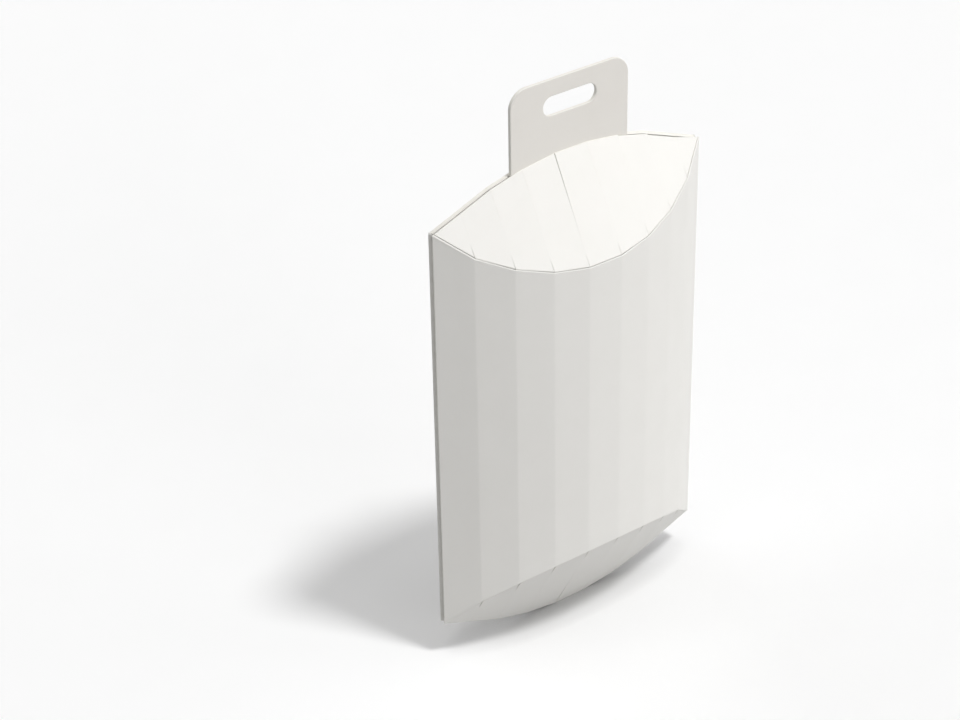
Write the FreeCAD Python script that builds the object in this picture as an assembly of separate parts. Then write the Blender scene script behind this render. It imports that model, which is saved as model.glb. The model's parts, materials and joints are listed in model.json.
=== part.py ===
import FreeCAD, Part
import math
import os

# Pillow box of white board with four leafed end flaps and a slotted hang tab.
# X runs across the box, Y from front to back and Z upward.
# Heights are counted from mid-height until the finished pieces are lifted to stand on Z = 0.

# Sleeve, in millimetres
WIDTH = 119.0  # between the two side creases
BOW = 21.0  # bulge of each panel's inner face away from the middle plane
SIDE_HEIGHT = 167.6  # length of a side crease
BOARD = 1.4  # thickness of the board
STRIPS = 9  # flat strips in each panel, and leaves in each flap

# End flaps
CREASE_DIP = 22.5  # depth of the crease's curve, seen on the panel
FULLNESS_SHARE = 0.25  # of the dip that follows the root of the bulge and fills the curve near its ends
RIDGE_RISE = 14.9  # height of the closed flaps' inner faces above the corners
CREASE_GAP = 0.15  # room at each crease
RIDGE_GAP = 0.4  # room between the front and back flap
LEAF_GAP = 0.06  # room between two leaves
NICK_WIDTH = 0.4  # relief nick between two leaves, widest at the crease
NICK_LENGTH = 6.0
SLIT_WIDTH = 0.35  # slit between two leaves, widest at the ridge
SLIT_LENGTH = 23.0
SLIT_FOLD = 4  # fold that the slit runs along, counted from the left corner

# Hang tab
TAB_WIDTH = 52.1
TAB_RISE = 28.9  # height above the flaps
TAB_CORNER = 7.2  # radius of its upper corners
TAB_GAP = 0.25  # room at the crease at its foot
TAB_SETBACK = 0.4  # behind the front flap's outer edge
SLOT_LENGTH = 23.6
SLOT_HEIGHT = 7.5
SLOT_MARGIN = 6.4  # board left above the slot
SLOT_OVERRUN = 1.0  # cutter past each face

# Glue seam
SEAM_WIDTH = 11.0
SEAM_SETBACK = 3.0  # below the crease, at each end
GLUE_FILM = 0.15  # thickness of the adhesive
GLUE_MARGIN = 1.5  # bare board beside the adhesive

MIDDLE = FreeCAD.Vector(0, 0, 0)
RIGHTWARD = FreeCAD.Vector(1, 0, 0)
BACKWARD = FreeCAD.Vector(0, 1, 0)
UPWARD = FreeCAD.Vector(0, 0, 1)


def prism(outline, depth):
    """A flat outline swept along the vector depth."""
    return Part.Face(Part.makePolygon(outline + outline[:1])).extrude(depth)


def clip(outline, point, inward):
    """The part of a flat outline on the inward side of a plane."""
    kept = []
    for start, end in zip(outline, outline[1:] + outline[:1]):
        start_room = (start - point).dot(inward)
        end_room = (end - point).dot(inward)
        if start_room >= 0:
            kept.append(start)
        if start_room * end_room < 0:
            kept.append(start + (end - start) * (start_room / (start_room - end_room)))
    return kept


# The sleeve: each panel is an arc in plan, laid out in flat strips


def crease_point(fold):
    """Where a fold of the front panel's inner face meets the top crease."""
    half_angle = 2 * math.atan(2 * BOW / WIDTH)
    radius = WIDTH / 2 / math.sin(half_angle)
    angle = half_angle * (2 * fold / STRIPS - 1)
    bulge_share = (math.cos(angle) - math.cos(half_angle)) / (1 - math.cos(half_angle))
    dip_share = bulge_share + FULLNESS_SHARE * (math.sqrt(bulge_share) - bulge_share)
    height = SIDE_HEIGHT / 2 - CREASE_DIP * dip_share
    return FreeCAD.Vector(radius * math.sin(angle), -BOW * bulge_share, height)


def strip_normal(strip):
    """Outward direction of a strip of the front panel."""
    crease = crease_point(strip + 1) - crease_point(strip)
    return FreeCAD.Vector(crease.y, -crease.x, 0).normalize()


def outer_point(fold):
    """Outer face's corner at a fold: mitred between strips, square at the panel's two ends."""
    left = strip_normal(max(fold - 1, 0))
    right = strip_normal(min(fold, STRIPS - 1))
    return crease_point(fold) + (left + right) * (BOARD / (1 + left.dot(right)))


def below(point):
    """The same point at the other end of the box."""
    return FreeCAD.Vector(point.x, point.y, -point.z)


def front_panel():
    inner = [crease_point(fold) for fold in range(STRIPS + 1)]
    outer = [outer_point(fold) for fold in range(STRIPS + 1)]
    outlines = [[inner[fold], outer[fold], below(outer[fold]), below(inner[fold])] for fold in (0, STRIPS)]
    for left in range(STRIPS):
        right = left + 1
        for face in (inner, outer):
            outlines.append([face[left], face[right], below(face[right]), below(face[left])])
        for edge in ([inner[left], inner[right], outer[right]], [inner[left], outer[right], outer[left]]):
            outlines.append(edge)
            outlines.append([below(point) for point in edge])
    faces = [Part.Face(Part.makePolygon(outline + outline[:1])) for outline in outlines]
    return Part.Solid(Part.Shell(faces))


# The seam: the back panel's last strip turns in behind the front panel's last strip


def seam_point(along, inward):
    """A point of the seam in plan, measured from the right side crease on the front panel's inner face."""
    corner = crease_point(STRIPS)
    strip = crease_point(STRIPS - 1) - corner
    corner.z = 0
    strip.z = 0
    return corner + strip.normalize() * along - strip_normal(STRIPS - 1) * inward


def seam_root(inward):
    """Distance from the side crease at which the back panel's inner face is reached."""
    normal = strip_normal(STRIPS - 1)
    half_angle = math.atan2(normal.x, -normal.y)
    return inward / math.tan(2 * half_angle)


def seam_prism(plan):
    reach = UPWARD * (crease_point(STRIPS - 1).z - SEAM_SETBACK)
    return prism([point - reach for point in plan], reach * 2)


def glue_line():
    sides = (GLUE_MARGIN, SEAM_WIDTH - GLUE_MARGIN)
    plan = [seam_point(along, 0) for along in sides]
    return seam_prism(plan + [seam_point(along, GLUE_FILM) for along in reversed(sides)])


def glue_flap():
    outer, inner = GLUE_FILM, GLUE_FILM + BOARD
    plan = [seam_point(seam_root(outer), outer), seam_point(SEAM_WIDTH, outer)]
    return seam_prism(plan + [seam_point(SEAM_WIDTH, inner), seam_point(seam_root(inner), inner)])


# The flaps: every leaf turns on one straight stretch of the crease and ends at the ridge


def flap_way():
    """From the middle of the crease up to the ridge. All folds between leaves run this way."""
    foot = (crease_point(STRIPS // 2) + crease_point(STRIPS - STRIPS // 2)) / 2
    return FreeCAD.Vector(0, 0, SIDE_HEIGHT / 2 + RIDGE_RISE) - foot


def leaf_normal(leaf):
    """Outward direction of a leaf of the top front flap."""
    return (crease_point(leaf + 1) - crease_point(leaf)).cross(flap_way()).normalize()


def ridge_point(fold):
    """Where the fold between two leaves reaches the middle plane."""
    foot, way = crease_point(fold), flap_way()
    return foot - way * (foot.y / way.y)


def leaf_side(leaf, fold):
    """Edge of a leaf along a fold, from the crease to the ridge, with its nick and slit."""
    foot, tip = crease_point(fold), ridge_point(fold)
    if fold in (0, STRIPS):
        return [foot]
    length = (tip - foot).Length
    along = (tip - foot) / length
    inward = leaf_normal(leaf).cross(along) * (1 if fold > leaf else -1)
    gaps = [(0, NICK_WIDTH), (NICK_LENGTH, LEAF_GAP), (length, LEAF_GAP)]
    if fold == SLIT_FOLD:
        gaps[2:] = [(length - SLIT_LENGTH, LEAF_GAP), (length, SLIT_WIDTH)]
    return [foot + along * place + inward * (gap / 2) for place, gap in gaps]


def leaf_outline(leaf):
    """Inner face of a leaf of the top front flap."""
    crease = crease_point(leaf + 1) - crease_point(leaf)
    upward = leaf_normal(leaf).cross(crease).normalize()
    outline = leaf_side(leaf, leaf) + leaf_side(leaf, leaf + 1)[::-1]
    outline = clip(outline, crease_point(leaf) + upward * CREASE_GAP, upward)
    return clip(outline, BACKWARD * (-RIDGE_GAP / 2), -BACKWARD)


def top_front_leaf(leaf):
    return prism(leaf_outline(leaf), leaf_normal(leaf) * BOARD)


def flap_edge():
    """Highest point of the top flaps: the outer corner of the middle leaf's free edge."""
    middle = STRIPS // 2
    tip = max(leaf_outline(middle), key=lambda point: point.z)
    return tip + leaf_normal(middle) * BOARD


# The tab: stands on the middle leaf of the top front flap, its foot following the ridge


def ridge_height(x):
    """Height of the ridge at a distance from the middle."""
    points = [ridge_point(fold) for fold in range(STRIPS + 1)]
    left, right = next(pair for pair in zip(points, points[1:]) if pair[1].x >= x)
    return left.z + (right.z - left.z) * (x - left.x) / (right.x - left.x)


def tab_top():
    """Middle of the upper edge of the tab's front face."""
    edge = flap_edge()
    return FreeCAD.Vector(0, edge.y + TAB_SETBACK, edge.z + TAB_RISE)


def tab_outline():
    """Front face of the tab, before its corners are rounded."""
    half = TAB_WIDTH / 2
    folds = [ridge_point(fold).x for fold in range(1, STRIPS)]
    foot = [-half] + [x for x in folds if abs(x) < half] + [half]
    lift = flap_edge().z - ridge_height(0) + TAB_GAP
    outline = [FreeCAD.Vector(x, tab_top().y, ridge_height(x) + lift) for x in foot]
    return outline + [tab_top() + RIGHTWARD * half, tab_top() - RIGHTWARD * half]


def slot_cutter():
    radius = SLOT_HEIGHT / 2
    reach = SLOT_LENGTH / 2 - radius
    depth = BOARD + 2 * SLOT_OVERRUN
    centre = tab_top() - UPWARD * (SLOT_MARGIN + radius) - BACKWARD * SLOT_OVERRUN
    corner = centre - RIGHTWARD * reach - UPWARD * radius
    cutter = Part.makeBox(2 * reach, depth, SLOT_HEIGHT, corner)
    for side in (-reach, reach):
        cutter = cutter.fuse(Part.makeCylinder(radius, depth, centre + RIGHTWARD * side, BACKWARD))
    return cutter.removeSplitter()


def hang_tab():
    tab = prism(tab_outline(), BACKWARD * BOARD)
    upper = [edge for edge in tab.Edges if all(v.Z > tab_top().z - BOARD / 2 for v in edge.Vertexes)]
    corners = [edge for edge in upper if edge.Length < 2 * BOARD]
    return tab.makeFillet(TAB_CORNER, corners).cut(slot_cutter())


# The whole box


def pieces():
    """Every piece by name, with heights counted from mid-height."""
    front = front_panel()
    named = {
        "front_panel": front,
        "back_panel": front.mirror(MIDDLE, BACKWARD),
        "glue_flap": glue_flap(),
        "glue_line": glue_line(),
        "hang_tab": hang_tab(),
    }
    for leaf in range(STRIPS):
        top_front = top_front_leaf(leaf)
        top_back = top_front.mirror(MIDDLE, BACKWARD)
        named[f"top_front_leaf_{leaf + 1}"] = top_front
        named[f"top_back_leaf_{leaf + 1}"] = top_back
        named[f"bottom_front_leaf_{leaf + 1}"] = top_front.mirror(MIDDLE, UPWARD)
        named[f"bottom_back_leaf_{leaf + 1}"] = top_back.mirror(MIDDLE, UPWARD)
    return named


def main():
    os.makedirs("parts", exist_ok=True)
    lift = UPWARD * flap_edge().z
    for name, shape in pieces().items():
        shape.translated(lift).exportStep(f"parts/{name}.step")


main()
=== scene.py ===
import json
import math

import bmesh
import bpy
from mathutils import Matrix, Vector
from mathutils.bvhtree import BVHTree
from mathutils.geometry import intersect_line_line
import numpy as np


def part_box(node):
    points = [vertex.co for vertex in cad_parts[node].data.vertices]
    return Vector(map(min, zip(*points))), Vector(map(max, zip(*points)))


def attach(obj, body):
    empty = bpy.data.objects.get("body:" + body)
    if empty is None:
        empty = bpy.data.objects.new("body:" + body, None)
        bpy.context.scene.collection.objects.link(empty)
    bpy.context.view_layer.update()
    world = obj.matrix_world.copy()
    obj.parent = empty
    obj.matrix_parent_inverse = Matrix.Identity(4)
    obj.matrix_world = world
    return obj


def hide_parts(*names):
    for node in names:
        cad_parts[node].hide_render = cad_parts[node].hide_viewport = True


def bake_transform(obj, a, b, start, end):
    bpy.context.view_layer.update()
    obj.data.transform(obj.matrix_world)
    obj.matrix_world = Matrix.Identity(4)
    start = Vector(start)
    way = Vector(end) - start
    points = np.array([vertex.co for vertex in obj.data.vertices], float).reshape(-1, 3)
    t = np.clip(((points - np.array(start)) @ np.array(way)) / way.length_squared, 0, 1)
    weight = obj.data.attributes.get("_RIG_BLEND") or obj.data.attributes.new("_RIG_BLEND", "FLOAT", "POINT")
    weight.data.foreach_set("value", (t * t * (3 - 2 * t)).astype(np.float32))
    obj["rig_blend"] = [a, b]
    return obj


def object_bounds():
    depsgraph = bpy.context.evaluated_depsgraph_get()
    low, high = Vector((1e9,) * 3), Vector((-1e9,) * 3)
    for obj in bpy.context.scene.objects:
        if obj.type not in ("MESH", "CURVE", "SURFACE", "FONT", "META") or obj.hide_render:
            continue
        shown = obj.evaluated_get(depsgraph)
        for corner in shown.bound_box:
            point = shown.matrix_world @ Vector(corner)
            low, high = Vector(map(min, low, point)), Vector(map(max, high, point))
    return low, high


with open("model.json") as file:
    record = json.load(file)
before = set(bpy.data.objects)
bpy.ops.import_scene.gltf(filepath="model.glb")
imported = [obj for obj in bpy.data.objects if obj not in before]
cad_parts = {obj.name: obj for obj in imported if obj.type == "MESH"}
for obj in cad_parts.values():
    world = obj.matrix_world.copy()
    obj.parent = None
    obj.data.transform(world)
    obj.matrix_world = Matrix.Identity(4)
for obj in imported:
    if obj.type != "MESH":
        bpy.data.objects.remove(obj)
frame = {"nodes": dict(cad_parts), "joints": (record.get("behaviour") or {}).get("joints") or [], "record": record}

# White card pillow box. Every piece of board gets softened edges, a coated outside, a plainer inside and a
# cut face with skins and a core; the tab's two faces are duller. Skins close the creases.
# Lengths are in metres.

cad_low, cad_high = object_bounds()
nodes = frame["nodes"]
joint_of_body = {joint["child"]: joint for joint in frame["joints"]}
body_of_node = {
    node: body
    for body, members in frame["record"]["behaviour"]["bodies"].items()
    for node in members
}
MM = 0.001
CENTRE = (cad_low + cad_high) / 2
UP = Vector((0, 0, 1))
FRONT = Vector((0, -1, 0))
BACK = Vector((0, 1, 0))
FRONT_RIGHT = Vector((1, -1, 0))

# Board
EDGE_ROUND = 0.14 * MM  # crushed edge of the cut board
FOLD_ROUND = 0.3 * MM  # rounding of the folds between strips
ROUND_STEPS = 2
RIM = 0.4 * MM  # band of handled surface beside every edge
RIM_ROOM = 2 * MM  # a face narrower than this gets no such band
SAME_POINT = 0.002 * MM  # corners of a solid nearer than this are one
FLAT = math.radians(0.3)  # faces that turn less than this are one
SHARP = math.radians(40)  # an edge that turns further than this is a sharp one
FACING = 0.7  # share of a face's direction across the board above which it isn't a cut face
END_FACING = 0.3  # share of a face's direction along the box above which it is at a panel's end

# Room between the pieces
LEAF_CLOSE = 0.03 * MM  # each leaf's half of the room between leaves
NICK_CLOSE = 0.1 * MM  # added to that at the nicks of the top flaps, which are narrower than their cuts
NICK_OPEN = 0.1 * MM  # taken from that at the nicks of the bottom flaps, which the box's weight spreads
SLIT_OPEN = 0.01 * MM  # how far the slit's foot is drawn back from the solid's own side
NICK_REACH = 10 * MM  # a bend in a leaf's side further than this from the crease is the slit's foot
RIDGE_CLOSE = 0.12 * MM  # how far each flap's free edge is brought towards the ridge
RIDGE_TRIM = {  # taken from that on the right-hand leaves of the top front flap
    "top_front_leaf_7": 0.15 * MM,
    "top_front_leaf_8": 0.35 * MM,
    "top_front_leaf_9": 0.35 * MM,
}
TRIM_REACH = 5 * MM  # a trim fades out nearer than this to the crease
RIDGE_ROOM = 0.3 * MM  # a point nearer than this to the middle plane is on the ridge
TAB_CLOSE = 0.45 * MM  # how far the tab's foot is brought down to its leaf
FOOT_ROOM = 4 * MM  # a downward face no higher than this above a piece's lowest point is its foot

# Skins of the creases
CREASE_ROOM = 2 * MM  # a leaf's corner nearer than this to its crease is on the edge along it
LINER_HALF = 1.2 * MM  # each side of a crease, on the inside of the box
LINER_ROWS = (0.15, 0.35, 0.6, 1)  # places of a liner's rows, as shares of its half
LINER_TURN = 0.5 * MM  # a liner bends between this far before the crease and this far past it
LINER_INSET = 0.4 * MM  # of a liner's ends from the folds
LINER_NEAR = 0.02 * MM  # from the board to a liner's nearer face
LINER_FAR = 0.14 * MM  # from the board to its farther face
FOLD_CORE = 0.15 * MM  # of a folded crease's inner face from the line that it turns on
FOLD_LIFT = 0.02 * MM  # of a folded crease off the panel's cut face
FOLD_SHARP = math.radians(20)  # a crease bent further than this shows an edge

# Colours and textures
WHITE = (1, 1, 1, 1)
CORE_DULL = (0.87, 0.842, 0.775, 1)
CORE_PALE = (0.935, 0.92, 0.88, 1)
CORE_SKIN = (0.93, 0.918, 0.885, 1)
BOARD_MIDDLE = 0.5  # as a share of the board's thickness
SKIN_START = 0.4  # of the paler skins from the middle, as a share of the thickness
PLY_RATE = 9.0  # how fast the core's tone changes through the thickness, times its texture's scale
PLY_HEIGHT = 0.06 * MM
FELT_HEIGHT = 1.5  # of the felt's marks, in heights of the fibres
SCUFF_ROUGH = 0.15  # roughness added where the surface is scuffed
GLUE_DULL = (0.84, 0.79, 0.62, 1)
GLUE_PALE = (0.91, 0.885, 0.78, 1)
GLUE_HEIGHT = 0.05 * MM
BOARD_FIBRES = (2600, 2600, 520)  # marks in a metre along X, Y and Z, longest along the box
GLUE_STREAKS = (900, 900, 60)

# Studio
FLOOR_RADIUS = 6.0
FLOOR_SIDES = 64
FLOOR_DROP = 0.02 * MM  # of the floor below the lowest edge
FLOOR_DULL = (0.935, 0.935, 0.935, 1)
FLOOR_PALE = (0.945, 0.945, 0.945, 1)
FLOOR_ROUGH = 0.9
FLOOR_LIFT = 0.065  # glow that brings the floor nearer to white
FLOOR_BOUNCE = (0.38, 0.38, 0.38, 1)  # colour of the light that the floor throws back at the box
# Painted contact shadow: ambient occlusion darkens the floor's colour and glow near the box
PAINTED_SHADOW_REACH = 14 * MM  # reach of the painted contact shadow: the floor darkens where the box is nearer than this
PAINTED_SHADOW_COLOUR = (0.5, 0.5, 0.5, 1)  # colour of the painted contact shadow where the box covers the floor
PAINTED_SHADOW_RAYS = 4
SKY_LIGHT = 0.14  # from all round
SENSOR_WIDTH = 36  # of the camera, in millimetres


# Materials


class Nodes:
    """A material's tree, with short calls for the nodes used here."""

    def __init__(self, name):
        self.material = bpy.data.materials.new(name)
        self.material.use_nodes = True
        self.tree = self.material.node_tree
        self.shader = self.tree.nodes["Principled BSDF"]
        self.place = self.add("ShaderNodeTexCoord").outputs["Object"]

    def add(self, kind, **settings):
        node = self.tree.nodes.new(kind)
        for key, value in settings.items():
            setattr(node, key, value)
        return node

    def link(self, source, target):
        self.tree.links.new(source, target)

    def feed(self, value, socket):
        if isinstance(value, bpy.types.NodeSocket):
            self.link(value, socket)
        else:
            socket.default_value = value

    def stretch(self, scale):
        node = self.add("ShaderNodeMapping")
        self.link(self.place, node.inputs["Vector"])
        node.inputs["Scale"].default_value = scale
        return node.outputs["Vector"]

    def noise(self, scale, detail, rough, vector=None, w=None):
        node = self.add("ShaderNodeTexNoise", noise_dimensions="3D" if w is None else "4D")
        self.link(vector or self.place, node.inputs["Vector"])
        node.inputs["Scale"].default_value = scale
        node.inputs["Detail"].default_value = detail
        node.inputs["Roughness"].default_value = rough
        if w is not None:
            self.link(w, node.inputs["W"])
        return node.outputs["Fac"]

    def ramp(self, value, low, high, to_low=0.0, to_high=1.0):
        node = self.add("ShaderNodeMapRange")
        self.link(value, node.inputs["Value"])
        for name, number in zip(("From Min", "From Max", "To Min", "To Max"), (low, high, to_low, to_high)):
            node.inputs[name].default_value = number
        return node.outputs["Result"]

    def math(self, operation, first, second=0.0):
        node = self.add("ShaderNodeMath", operation=operation)
        self.feed(first, node.inputs[0])
        self.feed(second, node.inputs[1])
        return node.outputs["Value"]

    def weigh(self, first, second, first_share):
        """Two values added in shares that make one whole."""
        return self.math(
            "ADD",
            self.math("MULTIPLY", first, first_share),
            self.math("MULTIPLY", second, 1 - first_share),
        )

    def mix(self, factor, first, second):
        node = self.add("ShaderNodeMix", data_type="RGBA")
        self.feed(factor, node.inputs["Factor"])
        colours = [socket for socket in node.inputs if socket.type == "RGBA"]
        self.feed(first, colours[0])
        self.feed(second, colours[1])
        return next(socket for socket in node.outputs if socket.type == "RGBA")

    def attribute(self, name):
        return self.add("ShaderNodeAttribute", attribute_name=name).outputs["Fac"]

    def bump(self, height, distance, strength, under=None):
        node = self.add("ShaderNodeBump")
        self.link(height, node.inputs["Height"])
        node.inputs["Distance"].default_value = distance
        node.inputs["Strength"].default_value = strength
        if under is not None:
            self.link(under, node.inputs["Normal"])
        return node.outputs["Normal"]

    def gloss(self, level):
        self.shader.inputs["Specular IOR Level"].default_value = level

    def finish(self, colour, rough, normal):
        self.link(colour, self.shader.inputs["Base Color"])
        self.link(rough, self.shader.inputs["Roughness"])
        self.link(normal, self.shader.inputs["Normal"])
        return self.material


def board_face(name, pale, dull, worn, rough_low, rough_high, fibre_height):
    """Board surface: cloudy whiteness, fine fibres along the box, and handled bands beside its edges."""
    t = Nodes(name)
    cloud = t.noise(scale=70, detail=4, rough=0.6)
    fibre = t.noise(scale=1, detail=3, rough=0.65, vector=t.stretch(BOARD_FIBRES))
    felt = t.noise(scale=1500, detail=2, rough=0.5)
    tone = t.weigh(cloud, fibre, first_share=0.7)
    colour = t.mix(t.ramp(tone, low=0.3, high=0.7), dull, pale)
    patch = t.ramp(t.noise(scale=420, detail=3, rough=0.6), low=0.35, high=0.7)
    scuff = t.math("MULTIPLY", t.attribute("rim"), patch)
    colour = t.mix(scuff, colour, worn)
    smooth = t.ramp(felt, low=0.3, high=0.7, to_low=rough_low, to_high=rough_high)
    rough = t.math("ADD", smooth, t.math("MULTIPLY", scuff, SCUFF_ROUGH))
    under = t.bump(felt, distance=fibre_height * FELT_HEIGHT, strength=0.4)
    t.gloss(0.35)
    return t.finish(colour, rough, t.bump(fibre, fibre_height, strength=0.5, under=under))


def board_cut(name):
    """Cut face of the board: a core of pressed plies, finely uneven, between two paler skins."""
    t = Nodes(name)
    depth = t.attribute("ply")
    layers = t.noise(scale=160, detail=3, rough=0.6, w=t.math("MULTIPLY", depth, PLY_RATE))
    fuzz = t.noise(scale=2200, detail=3, rough=0.6)
    tone = t.weigh(layers, fuzz, first_share=0.75)
    core = t.mix(t.ramp(tone, low=0.36, high=0.64), CORE_DULL, CORE_PALE)
    off_middle = t.math("ABSOLUTE", t.math("SUBTRACT", depth, BOARD_MIDDLE))
    colour = t.mix(t.math("GREATER_THAN", off_middle, SKIN_START), core, CORE_SKIN)
    rough = t.ramp(fuzz, low=0.3, high=0.7, to_low=0.7, to_high=0.9)
    t.gloss(0.2)
    return t.finish(colour, rough, t.bump(tone, PLY_HEIGHT, strength=0.6))


def dried_glue(name):
    """Dried adhesive: a faintly yellow film with small bubbles and streaks from the roller."""
    t = Nodes(name)
    streak = t.noise(scale=1, detail=3, rough=0.6, vector=t.stretch(GLUE_STREAKS))
    bubble = t.noise(scale=1600, detail=1, rough=0.4)
    colour = t.mix(t.ramp(streak, low=0.35, high=0.65), GLUE_DULL, GLUE_PALE)
    rough = t.ramp(bubble, low=0.35, high=0.7, to_low=0.22, to_high=0.4)
    under = t.bump(streak, GLUE_HEIGHT, strength=0.5)
    return t.finish(colour, rough, t.bump(bubble, GLUE_HEIGHT, strength=0.5, under=under))


coated = board_face(
    "coated_board",
    pale=(0.93, 0.916, 0.882, 1),
    dull=(0.91, 0.896, 0.86, 1),
    worn=(0.88, 0.865, 0.82, 1),
    rough_low=0.42,
    rough_high=0.56,
    fibre_height=0.02 * MM,
)
# a darker, warmer board than the panels', used for the tab's two faces
darker_tab = board_face(
    "darker_tab_board",
    pale=(0.87, 0.842, 0.796, 1),
    dull=(0.85, 0.82, 0.772, 1),
    worn=(0.82, 0.788, 0.735, 1),
    rough_low=0.45,
    rough_high=0.6,
    fibre_height=0.02 * MM,
)
plain = board_face(
    "plain_board",
    pale=(0.87, 0.858, 0.815, 1),
    dull=(0.82, 0.805, 0.755, 1),
    worn=(0.80, 0.78, 0.72, 1),
    rough_low=0.65,
    rough_high=0.85,
    fibre_height=0.04 * MM,
)
cut = board_cut("cut_board")
glue = dried_glue("dried_glue")
BOARD_MATERIALS = (coated, plain, cut)
OUTSIDE, INSIDE, CUT = range(3)


# Board pieces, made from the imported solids


def solid(node):
    """The node's shape with its flat faces whole."""
    bm = bmesh.new()
    bm.verts.layers.float.new("rim")
    bm.verts.layers.float.new("ply")
    bm.faces.layers.int.new("rounded")
    corners = [bm.verts.new(vert.co) for vert in nodes[node].data.vertices]
    for polygon in nodes[node].data.polygons:
        bm.faces.new([corners[index] for index in polygon.vertices])
    bmesh.ops.remove_doubles(bm, verts=bm.verts, dist=SAME_POINT)
    bmesh.ops.dissolve_limit(bm, angle_limit=FLAT, verts=bm.verts, edges=bm.edges)
    bm.normal_update()
    return bm


def put_in_scene(name, data):
    thing = bpy.data.objects.new(name, data)
    bpy.context.scene.collection.objects.link(thing)
    return thing


def make_piece(bm, name, materials):
    """An object with the worked mesh."""
    mesh = bpy.data.meshes.new(name)
    bm.to_mesh(mesh)
    bm.free()
    for material in materials:
        mesh.materials.append(material)
    return put_in_scene(name, mesh)


def side_of(face, outward):
    share = face.normal.dot(outward)
    if share > FACING:
        return OUTSIDE
    return INSIDE if share < -FACING else CUT


def largest_direction(bm, towards):
    """Direction of the piece's largest face, turned to the given side."""
    direction = max(bm.faces, key=lambda face: face.calc_area()).normal.copy()
    return direction if direction.dot(towards) > 0 else -direction


class Leaf:
    """Directions of one leaf: outward through the board, along its crease, and from there to the ridge."""

    def __init__(self, node):
        bm = solid(node)
        low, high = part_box(node)
        middle = (low + high) / 2
        joint = joint_of_body[node]
        self.node = node
        self.outward = largest_direction(bm, middle - CENTRE)
        self.pivot = Vector(joint["pos_m"])
        self.along = Vector(joint["axis"]).normalized()
        if self.along.x < 0:
            self.along.negate()
        self.way = self.outward.cross(self.along)
        if self.way.dot(middle - self.pivot) < 0:
            self.way.negate()
        self.panel_outward = self.along.cross(UP).normalized() * (1 if self.outward.y < 0 else -1)
        self.board = max((vert.co - self.pivot).dot(self.outward) for vert in bm.verts)
        bm.free()

    def is_crease(self, face):
        return face.normal.dot(self.way) < -FACING

    def is_ridge(self, face):
        return sum(abs(vert.co.y) < RIDGE_ROOM for vert in face.verts) > 1

    def is_side(self, face):
        cut_face = side_of(face, self.outward) == CUT
        return cut_face and not self.is_crease(face) and not self.is_ridge(face)

    def beside(self, step):
        """The next leaf of the same flap, to the right or the left, or nothing at a corner."""
        stem, number = self.node.rsplit("_", 1)
        return leaves.get(f"{stem}_{int(number) + step}")

    def crease_end(self, step):
        """The crease's end on one side, and the direction square to the plane in which creases meet."""
        other = self.beside(step)
        if other is None:
            return self.pivot - self.along * (self.pivot.y / self.along.y), self.along
        own_line = (self.pivot, self.pivot + self.along)
        other_line = (other.pivot, other.pivot + other.along)
        meet, _ = intersect_line_line(*own_line, *other_line)
        return meet, (self.along + other.along).normalized()


def close_sides(bm, this):
    """Brings a leaf's sides up to the next leaves, mitred through the board, but for its nicks and slit."""
    sides = [face for face in bm.faces if this.is_side(face)]
    shifts = {}
    for face in sides:
        other = this.beside(1 if face.normal.dot(this.along) > 0 else -1)
        turn = this.outward.angle(other.outward) * (1 if other.outward.dot(face.normal) > 0 else -1)
        for vert in face.verts:
            depth = max(0, (vert.co - this.pivot).dot(this.outward))
            shift = face.normal * (LEAF_CLOSE + depth * math.tan(turn / 2))
            if any(this.is_crease(f) for f in vert.link_faces):
                shift += face.normal * (NICK_CLOSE if this.outward.z > 0 else -NICK_OPEN)
            shifts.setdefault(vert, []).append(shift)
    for vert, moves in shifts.items():
        move = sum(moves, Vector()) / len(moves)
        if len(moves) > 1 and (vert.co - this.pivot).dot(this.way) > NICK_REACH:
            move -= moves[0].normalized() * (LEAF_CLOSE + SLIT_OPEN)
        vert.co += move
    return sides


def close_ridge(bm, this):
    """Brings a leaf's free edge towards the ridge, less its trim."""
    ridge = {vert for face in bm.faces if this.is_ridge(face) for vert in face.verts}
    slide = BACK - this.outward * this.outward.y
    slide /= slide.y * (1 if this.outward.y < 0 else -1)
    for vert in ridge:
        fade = min(1, (vert.co - this.pivot).dot(this.way) / TRIM_REACH)
        vert.co += slide * (RIDGE_CLOSE - RIDGE_TRIM.get(this.node, 0) * fade)
    bm.normal_update()


def round_edges(bm, edges, size, worn):
    """Rounds edges, and marks the new faces if wear shows there."""
    made = bmesh.ops.bevel(bm, geom=edges, offset=size, offset_type="OFFSET", segments=ROUND_STEPS,
                           profile=0.5, affect="EDGES", clamp_overlap=True)
    rounded = bm.faces.layers.int["rounded"]
    for face in made["faces"]:
        face[rounded] = worn
    bm.normal_update()


def is_wide(face):
    return face.calc_area() / max(edge.calc_length() for edge in face.edges) > RIM_ROOM


def add_rims(bm, outward, separately):
    """Cuts a narrow band along the border of the board's faces and marks its rounded side for wear."""
    rim = bm.verts.layers.float["rim"]
    rounded = bm.faces.layers.int["rounded"]
    for side in (OUTSIDE, INSIDE):
        faces = [face for face in bm.faces if side_of(face, outward) == side and is_wide(face)]
        if separately:
            bmesh.ops.inset_individual(bm, faces=faces, thickness=RIM, use_even_offset=True)
        else:
            bmesh.ops.inset_region(bm, faces=faces, thickness=RIM, use_even_offset=True, use_boundary=True)
    for vert in bm.verts:
        vert[rim] = max(face[rounded] for face in vert.link_faces)


def corner_numbers(faces):
    """Numbers of each face's corners, where every face has its own."""
    numbers, first = [], 0
    for face in faces:
        numbers.append(tuple(range(first, first + len(face.verts))))
        first += len(face.verts)
    return numbers


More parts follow.
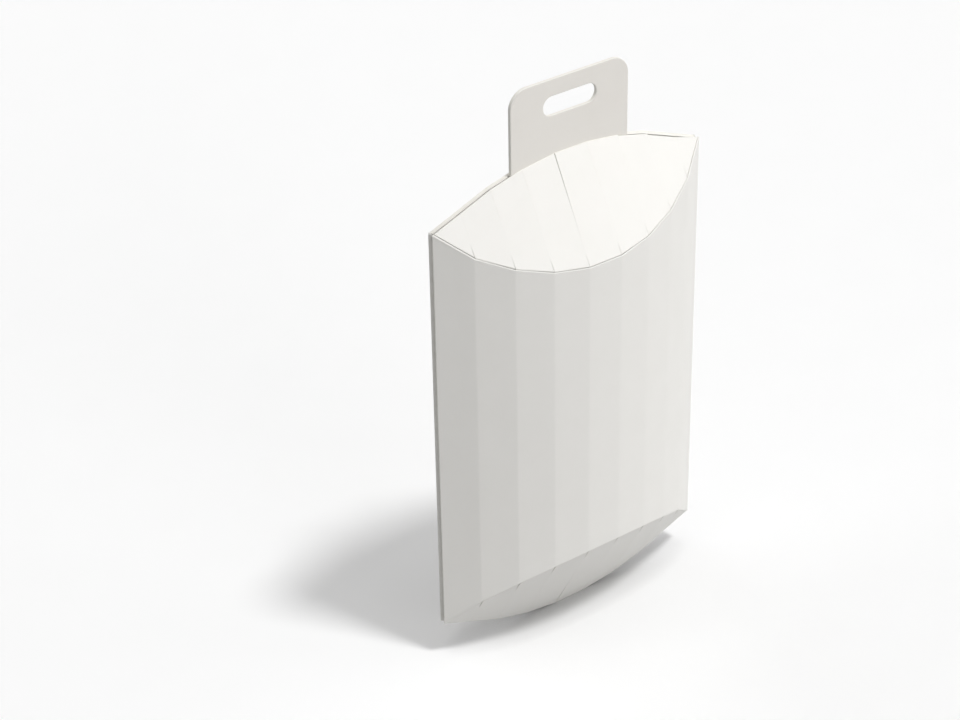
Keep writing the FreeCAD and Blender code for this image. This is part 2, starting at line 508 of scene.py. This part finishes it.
def mark_plies(bm, outward):
    """Stores how far each corner lies through the board, from the inside face."""
    ply = bm.verts.layers.float["ply"]
    inside = [face for face in bm.faces if side_of(face, outward) == INSIDE]
    corners = [vert.co.copy() for face in inside for vert in face.verts]
    surface = BVHTree.FromPolygons(corners, corner_numbers(inside))
    depths = {}
    for vert in bm.verts:
        *_, depths[vert] = surface.find_nearest(vert.co)
    thickness = max(depths.values())
    for vert, depth in depths.items():
        vert[ply] = depth / thickness


def finish_board(bm, node, outward, is_crease=lambda face: False, materials=BOARD_MATERIALS):
    """Turns the worked mesh into a piece that stands for its node."""
    for face in bm.faces:
        face.material_index = OUTSIDE if is_crease(face) else side_of(face, outward)
        face.smooth = True
    for edge in bm.edges:
        edge.smooth = len(edge.link_faces) == 2 and edge.calc_face_angle() < SHARP
    piece = make_piece(bm, node + "_board", materials)
    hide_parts(node)
    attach(piece, body_of_node[node])


def sharp_edges(bm, left_out=()):
    skipped = set(left_out)
    return [
        edge for edge in bm.edges
        if edge.calc_face_angle() > SHARP and not skipped.intersection(edge.link_faces)
    ]


def panel(node, outward):
    """A bowed panel, with rounded folds between its strips."""
    bm = solid(node)
    folds = [
        edge for edge in bm.edges
        if all(side_of(face, outward) == OUTSIDE for face in edge.link_faces)
    ]
    round_edges(bm, folds, FOLD_ROUND, worn=0)
    creases = [face for face in bm.faces if abs(face.normal.z) > END_FACING]
    round_edges(bm, sharp_edges(bm, creases), EDGE_ROUND, worn=1)
    mark_plies(bm, outward)
    add_rims(bm, outward, separately=True)
    finish_board(bm, node, outward, lambda face: side_of(face, outward) == CUT)


def leaf(this):
    """A leaf of a flap, brought up to its neighbours."""
    bm = solid(this.node)
    sides = close_sides(bm, this)
    close_ridge(bm, this)
    round_edges(bm, sharp_edges(bm, sides), EDGE_ROUND, worn=1)
    mark_plies(bm, this.outward)
    add_rims(bm, this.outward, separately=False)
    finish_board(bm, this.node, this.outward, this.is_crease)


def flat_piece(node, towards, close=0.0, materials=BOARD_MATERIALS):
    """A flat piece of board, its foot brought down to what it stands on."""
    bm = solid(node)
    outward = largest_direction(bm, towards)
    low = min(vert.co.z for vert in bm.verts)
    downward = [face for face in bm.faces if face.normal.z < -FACING]
    foot = [face for face in downward if face.calc_center_median().z < low + FOOT_ROOM]
    for vert in {vert for face in foot for vert in face.verts}:
        vert.co.z -= close
    bm.normal_update()
    round_edges(bm, sharp_edges(bm), EDGE_ROUND, worn=1)
    mark_plies(bm, outward)
    add_rims(bm, outward, separately=False)
    finish_board(bm, node, outward, materials=materials)


# Creases: the board stays whole there, and bends with its leaf


def bent_strip(name, this, sections, material, start, end):
    """A strip between two end sections, each a near and a far row of points, that bends with a leaf."""
    bm = bmesh.new()
    bm.verts.layers.float.new("rim")
    rings = [[bm.verts.new(point) for point in near + far[::-1]] for near, far in sections]
    count = len(rings[0])
    for index in range(count):
        after = (index + 1) % count
        bm.faces.new((rings[0][index], rings[0][after], rings[1][after], rings[1][index]))
    for ring in rings:
        for index in range(count // 2 - 1):
            bm.faces.new((ring[index], ring[index + 1], ring[count - 2 - index], ring[count - 1 - index]))
    bmesh.ops.recalc_face_normals(bm, faces=bm.faces)
    for face in bm.faces:
        face.smooth = True
    for edge in bm.edges:
        edge.smooth = edge.calc_face_angle() < FOLD_SHARP
    piece = make_piece(bm, name, [material])
    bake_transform(piece, "sleeve", this.node, start=start, end=end)


def crease_liner(this):
    """The skin on the inside of a crease, over the panel's edge and the leaf's edge."""
    wall = UP * (-1 if this.pivot.z > CENTRE.z else 1)
    wall = (wall - this.along * wall.dot(this.along)).normalized()
    wall_in, leaf_in = -this.panel_outward, -this.outward
    corner_in = (wall_in + leaf_in).normalized() / math.cos(wall_in.angle(leaf_in) / 2)
    stations = [(wall * share, wall_in) for share in LINER_ROWS[::-1]] + [(Vector(), corner_in)]
    stations += [(this.way * share, leaf_in) for share in LINER_ROWS]
    points = [vert.co - this.pivot for vert in nodes[this.node].data.vertices]
    places = [(point, point.dot(this.along)) for point in points]
    edge = [place for point, place in places if (point - this.along * place).length < CREASE_ROOM]
    sections = []
    for place in (min(edge) + LINER_INSET, max(edge) - LINER_INSET):
        crease = this.pivot + this.along * place
        sections.append([[crease + offset * LINER_HALF + inward * depth for offset, inward in stations]
                         for depth in (LINER_NEAR, LINER_FAR)])
    name = this.node.replace("leaf", "crease_liner")
    start, end = (this.pivot + direction * LINER_TURN for direction in (wall, this.way))
    bent_strip(name, this, sections, plain, start, end)


def folded_crease(this):
    """The outside of a crease: the panel's and the leaf's surfaces run on until they meet in an edge."""
    turn_share = this.panel_outward.dot(this.outward)
    across = (this.outward - this.panel_outward * turn_share).normalized()
    mitre = (this.panel_outward + this.outward) / (1 + turn_share)
    sections = []
    for step in (-1, 1):
        corner, square = this.crease_end(step)
        rows = []
        for radius in (FOLD_CORE, this.board):
            spokes = [direction * radius + across * FOLD_LIFT
                      for direction in (this.panel_outward, mitre, this.outward)]
            rows.append([corner + spoke - this.along * (spoke.dot(square) / this.along.dot(square))
                         for spoke in spokes])
        sections.append(rows)
    name = this.node.replace("leaf", "crease_fold")
    start, end = (this.pivot + direction * this.board for direction in (this.panel_outward, this.outward))
    bent_strip(name, this, sections, coated, start, end)


# The box

panel("front_panel", FRONT)
panel("back_panel", BACK)
flat_piece("glue_flap", FRONT_RIGHT)
flat_piece("hang_tab", FRONT, TAB_CLOSE, (darker_tab, darker_tab, cut))
leaves = {name: Leaf(name) for name in sorted(nodes) if "_leaf_" in name}
for this_leaf in leaves.values():
    leaf(this_leaf)
    crease_liner(this_leaf)
    folded_crease(this_leaf)
nodes["glue_line"].data.materials.clear()
nodes["glue_line"].data.materials.append(glue)


# Floor, light and camera


def studio_floor():
    """A wide white floor with a painted contact shadow close to the box, which throws less light back than it
    shows.
    """
    t = Nodes("studio_floor")
    t.shader.inputs["Roughness"].default_value = FLOOR_ROUGH
    t.gloss(0.0)
    grain = t.noise(scale=40, detail=3, rough=0.5)
    white = t.mix(t.ramp(grain, low=0.3, high=0.7), FLOOR_DULL, FLOOR_PALE)
    # painted contact shadow: ambient occlusion mixes the floor's white towards a shadow colour near the box
    painted_shadow_ao = t.add("ShaderNodeAmbientOcclusion", samples=PAINTED_SHADOW_RAYS)
    painted_shadow_ao.inputs["Distance"].default_value = PAINTED_SHADOW_REACH
    painted_shadow_clearance = painted_shadow_ao.outputs["AO"]
    white = t.mix(painted_shadow_clearance, PAINTED_SHADOW_COLOUR, white)
    rays = t.add("ShaderNodeLightPath").outputs
    mirrored = t.math("ADD", rays["Is Glossy Ray"], rays["Is Transmission Ray"])
    seen = t.math("ADD", rays["Is Camera Ray"], mirrored)
    t.link(t.mix(seen, FLOOR_BOUNCE, white), t.shader.inputs["Base Color"])
    t.shader.inputs["Emission Color"].default_value = WHITE
    # the floor's glow is darkened by the same painted contact shadow
    lift = t.math("MULTIPLY", t.math("MULTIPLY", seen, painted_shadow_clearance), FLOOR_LIFT)
    t.link(lift, t.shader.inputs["Emission Strength"])
    mesh = bpy.data.meshes.new("floor")
    turns = [2 * math.pi * side / FLOOR_SIDES for side in range(FLOOR_SIDES)]
    ring = [(FLOOR_RADIUS * math.cos(turn), FLOOR_RADIUS * math.sin(turn), FLOOR_LEVEL) for turn in turns]
    mesh.from_pydata(ring, [], [tuple(range(FLOOR_SIDES))])
    mesh.materials.append(t.material)
    floor = put_in_scene("floor", mesh)


def aim(thing, back):
    """Turns a lamp or the camera so that the given direction is behind it."""
    thing.rotation_mode = "QUATERNION"
    thing.rotation_quaternion = back.to_track_quat("Z", "Y")


def sun(name, towards, strength, spread):
    """Light from a direction; strength is what a facing white surface gets, spread is in degrees."""
    lamp = bpy.data.lights.new(name, "SUN")
    lamp.energy = strength * math.pi
    lamp.angle = math.radians(spread)
    aim(put_in_scene(name, lamp), Vector(towards))


def sky(strength):
    """A white background to the eye and in reflections, which lights the box with the given strength."""
    world = bpy.data.worlds.new("studio")
    bpy.context.scene.world = world
    world.use_nodes = True
    tree = world.node_tree
    rays = tree.nodes.new("ShaderNodeLightPath").outputs
    seen = tree.nodes.new("ShaderNodeMath")
    mirrored = tree.nodes.new("ShaderNodeMath")
    level = tree.nodes.new("ShaderNodeMapRange")
    tree.links.new(rays["Is Glossy Ray"], mirrored.inputs[0])
    tree.links.new(rays["Is Transmission Ray"], mirrored.inputs[1])
    tree.links.new(rays["Is Camera Ray"], seen.inputs[0])
    tree.links.new(mirrored.outputs[0], seen.inputs[1])
    tree.links.new(seen.outputs[0], level.inputs["Value"])
    level.inputs["To Min"].default_value = strength
    level.inputs["To Max"].default_value = 1.0
    background = tree.nodes["Background"]
    background.inputs["Color"].default_value = WHITE
    tree.links.new(level.outputs["Result"], background.inputs["Strength"])


def camera(azimuth, elevation, distance, right, up, lens, shift):
    """A camera round the middle of the panels: angles in degrees, lens in millimetres."""
    a, e = math.radians(azimuth), math.radians(elevation)
    back = Vector((-math.sin(a) * math.cos(e), -math.cos(a) * math.cos(e), math.sin(e)))
    rightward = Vector((math.cos(a), -math.sin(a), 0))
    upward = back.cross(rightward)
    data = bpy.data.cameras.new("camera")
    data.sensor_width = SENSOR_WIDTH
    data.lens = lens
    data.shift_x = shift
    holder = put_in_scene("camera", data)
    holder.location = Vector((0, 0, MID_HEIGHT)) + back * distance + rightward * right + upward * up
    aim(holder, back)
    bpy.context.scene.camera = holder


FLOOR_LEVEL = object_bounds()[0].z - FLOOR_DROP
MID_HEIGHT = sum(corner.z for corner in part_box("front_panel")) / 2
studio_floor()
sky(SKY_LIGHT)
sun("key", towards=(0.17, -0.35, 0.92), strength=0.462, spread=9)
sun("top", towards=(0, 0, 1), strength=0.145, spread=30)
sun("side", towards=(0.86, -0.5, 0.1), strength=0.35, spread=60)
sun("front", towards=(0.1, -0.99, 0.1), strength=0.39, spread=50)
sun("rear", towards=(-0.45, 0.8, 0.4), strength=0.32, spread=80)
camera(
    azimuth=37.906,
    elevation=32.260,
    distance=0.96016,
    right=-0.001567,
    up=0.008379,
    lens=96.419,
    shift=-0.08724,
)
bpy.context.scene.view_settings.view_transform = "Standard"
